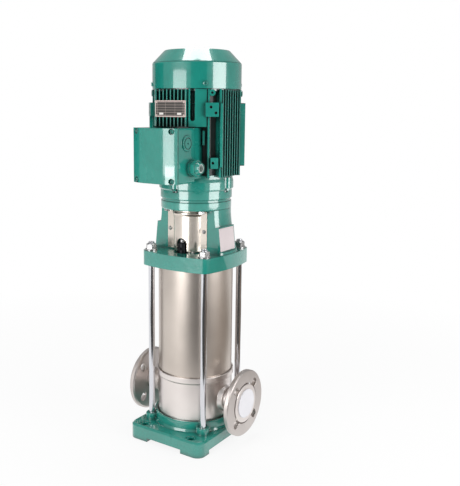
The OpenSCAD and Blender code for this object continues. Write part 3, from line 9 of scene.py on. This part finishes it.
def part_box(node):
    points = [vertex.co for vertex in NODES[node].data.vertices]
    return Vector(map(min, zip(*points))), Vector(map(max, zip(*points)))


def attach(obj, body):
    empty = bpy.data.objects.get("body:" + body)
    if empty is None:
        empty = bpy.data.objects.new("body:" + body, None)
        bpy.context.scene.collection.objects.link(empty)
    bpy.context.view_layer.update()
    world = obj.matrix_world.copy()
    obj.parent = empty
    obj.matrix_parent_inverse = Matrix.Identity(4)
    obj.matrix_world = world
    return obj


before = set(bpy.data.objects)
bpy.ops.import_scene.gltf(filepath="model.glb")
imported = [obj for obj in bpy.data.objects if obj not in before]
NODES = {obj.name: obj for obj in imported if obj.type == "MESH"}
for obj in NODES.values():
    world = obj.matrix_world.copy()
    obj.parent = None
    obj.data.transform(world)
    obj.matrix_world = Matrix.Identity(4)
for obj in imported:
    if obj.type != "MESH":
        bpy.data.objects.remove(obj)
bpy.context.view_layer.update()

# Places on the pump that the finishes and trim line up with, in metres
PORT_H = 0.098
COWL_CREASE_H = 0.848
COWL_CREASE_HALF = 0.0007
BARREL_RADIUS_SQUARED = 0.0066
GLAND_SEAL_RADIUS_SQUARED = 0.0000828
GLAND_SEAL_FROM_X = 0.066
ROD_THREAD_FROM_H = 0.452
ROD_THREAD_PITCH = 0.002
PIPE_WELD_X = 0.0912
PIPE_WELD_RADIUS = 0.0262
PIPE_WELD_HALF_WIDTH = 0.0021
WELD_RIPPLES = 54
WELD_RIPPLE_DEPTH = 0.0003
AIM_H = 0.45

BLACK = (0, 0, 0, 1)
WHITE = (1, 1, 1, 1)
FINE_GRIT = 0.0003


# ---------- materials ----------


class Value:
    """A node socket whose arithmetic adds Math nodes."""

    def __init__(self, finish, socket):
        self.finish = finish
        self.socket = socket

    def _math(self, operation, a, b):
        return self.finish.node("Math", {"operation": operation}, {0: a, 1: b})

    def __add__(self, other):
        return self._math("ADD", self, other)

    def __radd__(self, other):
        return self._math("ADD", other, self)

    def __sub__(self, other):
        return self._math("SUBTRACT", self, other)

    def __rsub__(self, other):
        return self._math("SUBTRACT", other, self)

    def __mul__(self, other):
        return self._math("MULTIPLY", self, other)

    def __rmul__(self, other):
        return self._math("MULTIPLY", other, self)

    def __abs__(self):
        return self.finish.node("Math", {"operation": "ABSOLUTE"}, {0: self})

    def part(self):
        return self.finish.node("Math", {"operation": "FRACT"}, {0: self})

    def __gt__(self, other):
        return self._math("GREATER_THAN", self, other)

    def __lt__(self, other):
        return self._math("LESS_THAN", self, other)


class Finish:
    """A material built from nodes on Object coordinates."""

    def __init__(self, name, **settings):
        self.material = bpy.data.materials.new(name)
        self.material.use_nodes = True
        self.tree = self.material.node_tree
        self.shader = self.tree.nodes["Principled BSDF"]
        self.output = self.tree.nodes["Material Output"]
        for socket, value in settings.items():
            self.shader.inputs[socket.replace("_", " ")].default_value = value
        self.place = self.node("TexCoord", out="Object")

    def node(self, kind, settings=None, inputs=None, out=0):
        made = self.tree.nodes.new("ShaderNode" + kind)
        for name, value in (settings or {}).items():
            if name == "stops":
                while len(made.color_ramp.elements) < len(value):
                    made.color_ramp.elements.new(0.5)
                for stop, (at, grey) in zip(made.color_ramp.elements, value):
                    stop.position = at
                    stop.color = grey if isinstance(grey, tuple) else (grey, grey, grey, 1)
            else:
                setattr(made, name, value)
        for name, value in (inputs or {}).items():
            self.feed(made.inputs[name], value)
        return Value(self, made.outputs[out])

    def feed(self, socket, value):
        if isinstance(value, Value):
            self.tree.links.new(value.socket, socket)
        else:
            socket.default_value = value

    def axis(self, which):
        return self.node("SeparateXYZ", None, {0: self.place}, which)

    def noise(self, scale, detail=3.0, roughness=0.55, stretch=(1, 1, 1)):
        coords = self.node("Mapping", None, {"Vector": self.place, "Scale": stretch})
        inputs = {"Vector": coords, "Scale": scale, "Detail": detail, "Roughness": roughness}
        return self.node("TexNoise", None, inputs, "Fac")

    def ramp(self, value, *stops):
        return self.node("ValToRGB", {"stops": stops}, {"Fac": value}, "Color")

    def blend(self, factor, a, b):
        made = self.tree.nodes.new("ShaderNodeMix")
        made.data_type = "RGBA"
        self.feed(made.inputs["Factor"], factor)
        self.feed(made.inputs[6], a)
        self.feed(made.inputs[7], b)
        return Value(self, made.outputs[2])

    def soft_edges(self, radius):
        return self.node("Bevel", {"samples": 6}, {"Radius": radius}, "Normal")

    def bump(self, height, strength, distance, normal=None):
        inputs = {"Height": height, "Strength": strength, "Distance": distance}
        if normal is not None:
            inputs["Normal"] = normal
        return self.node("Bump", None, inputs, "Normal")

    def set(self, **links):
        for socket, value in links.items():
            self.feed(self.shader.inputs[socket.replace("_", " ")], value)


def rgb(red, green, blue):
    """A display colour from 0 to 255 as the linear colour that a socket holds."""
    levels = (red, green, blue)
    return (*(((v / 255 + 0.055) / 1.055) ** 2.4 if v > 10 else v / 3295 for v in levels), 1)


def gloss_paint(name, edge, grain, peel, lump=0.0, reach=0.012, depth=0.75, patch=None):
    """Enamel over iron or sheet: orange peel, casting lumps and grain, painted shade in the
    recesses.

    A patch gives a place and its colour, where the enamel has lost its gloss; on the fin barrel
    and the cowl's fold that colour is painted shade.
    """
    f = Finish(name, Coat_Roughness=0.04, Coat_IOR=1.7)
    cloud = f.noise(9, 4)
    mottle = f.noise(60, 3)
    colour = f.blend(f.ramp(cloud, (0.35, 0.0), (0.7, 1.0)), rgb(14, 124, 111), rgb(24, 138, 124))
    colour = f.blend(f.ramp(mottle, (0.5, 0.0), (0.9, 0.4)), colour, rgb(10, 98, 89))
    # Painted shade: ambient occlusion darkens the colour in recesses and gaps, as strongly as
    # depth gives.
    painted_hollow_shade = f.node("AmbientOcclusion", {"samples": 8}, {"Distance": reach}, "AO")
    colour = f.blend(f.ramp(painted_hollow_shade, (0.35, depth), (0.95, 0.0)), colour, rgb(8, 38, 36))
    where, over = patch(f) if patch else (0.0, BLACK)
    height = f.noise(95, 2) * lump + f.noise(260, 2) * peel + f.noise(900, 2) * grain
    f.set(Base_Color=f.blend(where, colour, over), Roughness=0.2 + cloud * 0.14 + where * 0.3,
          Coat_Weight=1.0 - where * 0.85, Normal=f.bump(height, 0.35, 0.0006, f.soft_edges(edge)))
    return f.material


def barrel_painted_shade(f):
    """Painted shade: the barrel behind the fins and rails is coloured near black, as if out of
    the light.
    """
    x, y = f.axis("X"), f.axis("Y")
    return (x * x + y * y) < BARREL_RADIUS_SQUARED, rgb(10, 34, 31)


def crease_painted_shade(f):
    """Painted shade along the fold line between the cowl's wall and its cone."""
    fold = abs(f.axis("Z") - COWL_CREASE_H) < COWL_CREASE_HALF
    return fold * 0.7, rgb(8, 52, 48)


def seal_insert(f):
    """The pale seal that lines the gland."""
    low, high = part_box("cable_gland")
    y, z = f.axis("Y") - (low[1] + high[1]) / 2, f.axis("Z") - (low[2] + high[2]) / 2
    near = (y * y + z * z) < GLAND_SEAL_RADIUS_SQUARED
    pale = f.blend(f.noise(300, 2), rgb(176, 192, 187), rgb(202, 216, 211))
    return near * (f.axis("X") > GLAND_SEAL_FROM_X), pale


def turned_steel(name, tint, stretch, rough=(0.2, 0.16), edge=0.0008):
    """Stainless sheet or bar with fine lines along one direction."""
    f = Finish(name, Metallic=1.0)
    lines = f.noise(55, 3, 0.7, stretch)
    broad = f.noise(7, 3)
    dark, light = tint
    colour = f.blend(f.ramp(broad, (0.3, 0.0), (0.75, 1.0)), dark, light)
    f.set(Base_Color=colour, Roughness=rough[0] + lines * rough[1] + broad * 0.06,
          Normal=f.bump(lines, 0.12, FINE_GRIT, f.soft_edges(edge)))
    return f.material


def rod_steel():
    """Polished bar with a rolled thread at the top end."""
    f = Finish("rod_steel", Metallic=1.0)
    height = f.axis("Z")
    wave = f.node("Math", {"operation": "SINE"}, {0: height * (2 * math.pi / ROD_THREAD_PITCH)})
    threaded = height > ROD_THREAD_FROM_H
    drawn = f.noise(30, 3, 0.6, (30, 30, 1))
    f.set(Base_Color=f.blend(drawn, rgb(206, 207, 212), rgb(232, 233, 237)),
          Roughness=0.07 + drawn * 0.08 + threaded * 0.18,
          Normal=f.bump(wave * threaded + drawn * 0.08, 0.8, 0.0004))
    return f.material


def cast_steel():
    """Investment-cast stainless with a fine pebble and machined brightness."""
    f = Finish("cast_steel", Metallic=1.0)
    pebble = f.noise(420, 3)
    broad = f.noise(18, 3)
    f.set(Base_Color=f.blend(broad, rgb(190, 182, 178), rgb(222, 215, 211)),
          Roughness=0.3 + pebble * 0.12 + broad * 0.06,
          Normal=f.bump(pebble, 0.2, 0.0004, f.soft_edges(0.0015)))
    return f.material


def moulded(name, colour, rough, sheen_colour, edge=0.0008):
    """Moulded plastic or rubber with a fine texture."""
    f = Finish(name)
    texture = f.noise(700, 2)
    broad = f.noise(25, 3)
    f.set(Base_Color=f.blend(broad, colour, sheen_colour), Roughness=rough + broad * 0.1,
          Normal=f.bump(texture, 0.12, FINE_GRIT, f.soft_edges(edge)))
    return f.material


def metal(name, dark, light, rough):
    """Plain machined or cast metal with a faint grain."""
    f = Finish(name, Metallic=0.9)
    broad = f.noise(40, 4)
    f.set(Base_Color=f.blend(broad, dark, light), Roughness=rough + broad * 0.15,
          Normal=f.bump(f.noise(500, 2), 0.15, 0.0004, f.soft_edges(0.0006)))
    return f.material


def copper_wire():
    """Varnished copper bundles."""
    f = Finish("copper_wire", Metallic=0.7)
    strands = f.noise(120, 2, 0.5, (1, 1, 6))
    f.set(Base_Color=f.blend(strands, rgb(112, 58, 26), rgb(190, 112, 60)),
          Roughness=0.3 + strands * 0.2, Normal=f.bump(strands, 0.6, 0.001))
    return f.material


def rating_plate():
    """Etched plate left bare: a pale rim and rulings, empty dark fields and two pale ones."""
    f = Finish("rating_plate", Metallic=0.3)
    low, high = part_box("motor_plate")
    x, z = f.axis("X"), f.axis("Z") - (low[2] + high[2]) / 2
    face = f.axis("Y") > low[1] + 0.0008
    inside = (abs(x) < 0.0378) * (abs(z) < 0.0148) * face
    rows = abs((z * 190 + 10.5).part() - 0.5) > 0.4
    posts = (abs(abs(x) - 0.0125) < 0.0004) + (abs(abs(x) - 0.0335) < 0.0005)
    pale = (abs(abs(x) - 0.0235) < 0.0055) * (abs(z + 0.0104) < 0.0021)
    lines = f.noise(40, 3, 0.6, (1, 1, 22))
    brushed = f.blend(lines, rgb(44, 44, 42), rgb(78, 72, 68))
    ruled = f.blend((rows + posts) * 0.5, brushed, rgb(176, 158, 152))
    field = f.blend(pale, ruled, rgb(222, 216, 212))
    f.set(Base_Color=f.blend(inside, rgb(204, 184, 178), field), Roughness=0.34 + lines * 0.2,
          Normal=f.bump(lines * inside, 0.25, FINE_GRIT, f.soft_edges(0.0003)))
    return f.material


casting_paint = gloss_paint("casting_paint", edge=0.0024, grain=0.35, peel=0.8, lump=2.6)
# The fins take deep painted shade in their gaps, and painted shade over the barrel between them.
fin_paint = gloss_paint("fin_paint", edge=0.0007, grain=0.25, peel=0.6, lump=0.8,
                        reach=0.02, depth=0.96, patch=barrel_painted_shade)
sheet_paint = gloss_paint("sheet_paint", edge=0.0012, grain=0.05, peel=0.5)
# The cowl takes a line of painted shade along the fold under its cone.
cowl_paint = gloss_paint("cowl_paint", edge=0.0012, grain=0.05, peel=0.5, lump=0.3,
                         patch=crease_painted_shade)
gland_paint = gloss_paint("gland_paint", edge=0.001, grain=0.05, peel=0.5, patch=seal_insert)
sleeve_steel = turned_steel("sleeve_steel", (rgb(200, 190, 181), rgb(220, 210, 201)),
                            stretch=(1, 1, 14), rough=(0.26, 0.12))
bowl_steel = turned_steel("bowl_steel", (rgb(224, 216, 212), rgb(240, 233, 229)),
                          stretch=(1, 1, 10), rough=(0.24, 0.14))
guard_steel = turned_steel("guard_steel", (rgb(214, 203, 190), rgb(240, 231, 221)),
                           stretch=(10, 10, 1), rough=(0.16, 0.12), edge=0.0005)
polished_rod = rod_steel()
flange_steel = cast_steel()
nut_steel = metal("nut_steel", rgb(150, 150, 150), rgb(200, 200, 200), 0.2)
coupling_iron = metal("coupling_iron", rgb(70, 72, 75), rgb(110, 112, 115), 0.4)
dark_iron = metal("dark_iron", rgb(28, 29, 31), rgb(56, 58, 60), 0.35)
cap_white = moulded("cap_white", rgb(218, 217, 222), 0.4, rgb(230, 229, 233))
black_rubber = moulded("black_rubber", rgb(24, 24, 25), 0.6, rgb(38, 38, 40))
black_moulding = moulded("black_moulding", rgb(22, 24, 26), 0.35, rgb(40, 43, 46))
bush_grey = moulded("bush_grey", rgb(92, 94, 98), 0.3, rgb(120, 122, 126))
winding_copper = copper_wire()
bare_label = moulded("bare_label", rgb(204, 193, 194), 0.4, rgb(218, 207, 208), edge=0.0003)
etched_label = rating_plate()

FINISHES = {
    casting_paint: "base_plate motor_stool drive_end_shield fan_end_shield terminal_box"
    " terminal_cover",
    fin_paint: "stator_housing",
    sheet_paint: "cowl_screws shield_screws cover_screws blanking_plug",
    cowl_paint: "fan_cowl",
    gland_paint: "cable_gland",
    sleeve_steel: "sleeve",
    bowl_steel: "pump_housing pump_head stack_clamp"
    " chamber_1 chamber_2 chamber_3 chamber_4 chamber_5"
    " impeller_1 impeller_2 impeller_3 impeller_4 impeller_5",
    guard_steel: "coupling_guard_front coupling_guard_back",
    polished_rod: "tie_rods",
    flange_steel: "suction_flange discharge_flange",
    nut_steel: "rod_nuts rod_washers guard_screws flange_bolts impeller_nut vent_screw"
    " drive_end_bearing fan_end_bearing pump_shaft motor_shaft",
    coupling_iron: "coupling_half_front coupling_half_back stator_core rotor_core",
    dark_iron: "coupling_screws vent_plug seal_ring",
    cap_white: "suction_cap discharge_cap",
    black_rubber: "sleeve_seals terminal_gasket",
    black_moulding: "cooling_fan terminal_block",
    bush_grey: "shaft_bush seal_seat",
    winding_copper: "windings",
    bare_label: "pump_plate",
    etched_label: "motor_plate",
}
for finish, names in FINISHES.items():
    for name in names.split():
        slots = NODES[name].data.materials
        slots.clear()
        slots.append(finish)


# ---------- trim -----------------------


def start_fresh():
    """Leaves edit mode and lets go of every object."""
    if bpy.context.object and bpy.context.object.mode != "OBJECT":
        bpy.ops.object.mode_set(mode="OBJECT")
    bpy.ops.object.select_all(action="DESELECT")


def finish_piece(piece, name, finish, body, angle=40):
    """Names a piece, puts its place into its mesh, and lets it ride on a body."""
    start_fresh()
    piece.select_set(True)
    bpy.context.view_layer.objects.active = piece
    bpy.ops.object.transform_apply(location=True, rotation=True, scale=True)
    bpy.ops.object.mode_set(mode="EDIT")
    bpy.ops.mesh.select_all(action="SELECT")
    bpy.ops.mesh.remove_doubles(threshold=0.00001)
    bpy.ops.mesh.normals_make_consistent(inside=False)
    bpy.ops.object.mode_set(mode="OBJECT")
    bpy.ops.object.shade_smooth_by_angle(angle=math.radians(angle))
    piece.name = name
    piece.data.name = name
    piece.data.materials.clear()
    piece.data.materials.append(finish)
    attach(piece, body)


def weld_bead(name, x):
    """A rippled weld bead round a port pipe."""
    start_fresh()
    bpy.ops.mesh.primitive_torus_add(
        major_segments=144, minor_segments=10, major_radius=PIPE_WELD_RADIUS,
        minor_radius=PIPE_WELD_HALF_WIDTH, location=(x, 0, PORT_H), rotation=(0, math.pi / 2, 0))
    bead = bpy.context.object
    bpy.ops.object.transform_apply(location=True, rotation=True, scale=True)
    for corner in bead.data.vertices:
        turn = math.atan2(corner.co.y, corner.co.z - PORT_H)
        out = Vector((0, corner.co.y, corner.co.z - PORT_H)).normalized()
        corner.co += out * (WELD_RIPPLE_DEPTH * math.sin(turn * WELD_RIPPLES))
    finish_piece(bead, name, bowl_steel, "pump")


weld_bead("discharge_pipe_weld", PIPE_WELD_X)
weld_bead("suction_pipe_weld", -PIPE_WELD_X)


# ---------- studio ----------


def white_where_seen(name, grey):
    """A pale floor that shows white away from the pump, and keeps the pump's shadow near it.

    Polished metal sees it as white up to where the room would darken.
    """
    f = Finish(name, Roughness=0.9)
    f.shader.inputs["Base Color"].default_value = (grey, grey, grey, 1)
    f.shader.inputs["Specular IOR Level"].default_value = 0.1
    away = f.node("VectorMath", {"operation": "LENGTH"}, {0: f.place}, "Value") * 0.2
    seen = f.node("LightPath", out="Is Camera Ray") * f.ramp(away, (0.06, 0.86), (0.28, 1.0))
    mirrored = f.node("LightPath", out="Is Glossy Ray") * f.ramp(away, (0.7, 0.85), (0.95, 0.2))
    light = f.node("Emission", None, {"Color": WHITE, "Strength": 1.0})
    paper = Value(f, f.shader.outputs[0])
    mixed = f.node("MixShader", None, {0: seen + mirrored, 1: paper, 2: light})
    f.tree.links.new(mixed.socket, f.output.inputs["Surface"])
    return f.material


start_fresh()
bpy.ops.mesh.primitive_plane_add(size=40, location=(0, 0, 0))
floor = bpy.context.object
floor.name = "studio_floor"
floor.data.materials.append(white_where_seen("studio_white", 0.86))

world = bpy.data.worlds.new("studio_air")
bpy.context.scene.world = world
world.use_nodes = True
sky = world.node_tree
seen = sky.nodes.new("ShaderNodeLightPath")
strength = sky.nodes.new("ShaderNodeMapRange")
strength.inputs["To Min"].default_value = 0.4
strength.inputs["To Max"].default_value = 1.0
sky.links.new(seen.outputs["Is Camera Ray"], strength.inputs["Value"])
sky.links.new(strength.outputs[0], sky.nodes["Background"].inputs["Strength"])
sky.nodes["Background"].inputs["Color"].default_value = WHITE


def round_the_pump(azimuth, distance, height):
    """A place by its azimuth, in degrees from the front towards the discharge side."""
    a = math.radians(azimuth)
    return distance * math.sin(a), -distance * math.cos(a), height


def softbox(name, azimuth, distance, height, wide, tall, power):
    """An area lamp that looks at the middle of the pump."""
    data = bpy.data.lights.new(name, "AREA")
    data.shape = "RECTANGLE"
    data.size = wide
    data.size_y = tall
    data.energy = power
    lamp = bpy.data.objects.new(name, data)
    bpy.context.scene.collection.objects.link(lamp)
    lamp.location = round_the_pump(azimuth, distance, height)
    aim = Vector((0, 0, AIM_H)) - lamp.location
    lamp.rotation_euler = aim.to_track_quat("-Z", "Y").to_euler()
    return lamp


DARK_CARD = (0.02, 0.02, 0.02, 1)
BROWN_CARD = (0.16, 0.12, 0.085, 1)


def standing_card(name, azimuth, distance, wide, tall):
    """A dark card that stands on the floor."""
    gloss_card(name, round_the_pump(azimuth, distance, tall / 2),
               (math.pi / 2, 0, math.radians(azimuth)), wide, tall, DARK_CARD)


def lying_card(name, azimuth, near, far, wide, colour):
    """A card that lies on the floor between two distances from the pump."""
    gloss_card(name, round_the_pump(azimuth, (near + far) / 2, 0.001),
               (0, 0, math.radians(azimuth)), wide, far - near, colour)


def gloss_card(name, place, turn, wide, tall, colour):
    """A sheet of card that shows only in gloss."""
    start_fresh()
    bpy.ops.mesh.primitive_plane_add(size=1, location=place, rotation=turn)
    card = bpy.context.object
    card.scale = (wide, tall, 1)
    bpy.ops.object.transform_apply(location=True, rotation=True, scale=True)
    card.name = name
    f = Finish(name + "_paper", Roughness=1.0)
    f.shader.inputs["Base Color"].default_value = colour
    card.data.materials.append(f.material)
    card.visible_camera = False
    card.visible_shadow = False
    card.visible_diffuse = False


softbox("key_softbox", -9, 2.0, 0.68, wide=1.25, tall=0.5, power=8)
softbox("low_softbox", -5, 1.9, 0.32, wide=1.0, tall=0.34, power=7)
softbox("upper_softbox", -10, 2.2, 1.7, wide=1.4, tall=0.8, power=18)
softbox("side_softbox", 93, 1.6, 0.66, wide=1.05, tall=0.7, power=14.5)
overhead = softbox("top_softbox", 215, 0.24, 2.05, wide=0.85, tall=0.6, power=12.5)
overhead.rotation_euler = (0, 0, math.radians(35))
standing_card("front_card", 40, 4.8, wide=3.6, tall=1.6)
standing_card("left_card", -80, 4.8, wide=3.6, tall=1.6)
lying_card("floor_card", 45, 0.48, 2.1, wide=2.0, colour=DARK_CARD)
lying_card("brown_card", 104, 0.45, 2.4, wide=2.0, colour=BROWN_CARD)

# ---------- camera ----------

CAMERA_AZIMUTH, CAMERA_DOWN, CAMERA_ROLL = map(math.radians, (34.82, 10.0, 0.37))

camera_data = bpy.data.cameras.new("camera")
camera_data.lens = 52.33
camera_data.sensor_width = 36
camera_data.shift_x = 0.070
camera_data.shift_y = -0.0215
camera = bpy.data.objects.new("camera", camera_data)
bpy.context.scene.collection.objects.link(camera)
bpy.context.scene.camera = camera
camera.location = (0.9034, -1.2989, 0.7528)
level = math.cos(CAMERA_DOWN)
forward = Vector((-math.sin(CAMERA_AZIMUTH) * level, math.cos(CAMERA_AZIMUTH) * level,
                  -math.sin(CAMERA_DOWN)))
upright = forward.to_track_quat("-Z", "Y").to_matrix()
camera.rotation_mode = "QUATERNION"
camera.rotation_quaternion = (upright @ Matrix.Rotation(CAMERA_ROLL, 3, "Z")).to_quaternion()

bpy.context.scene.view_settings.view_transform = "Standard"
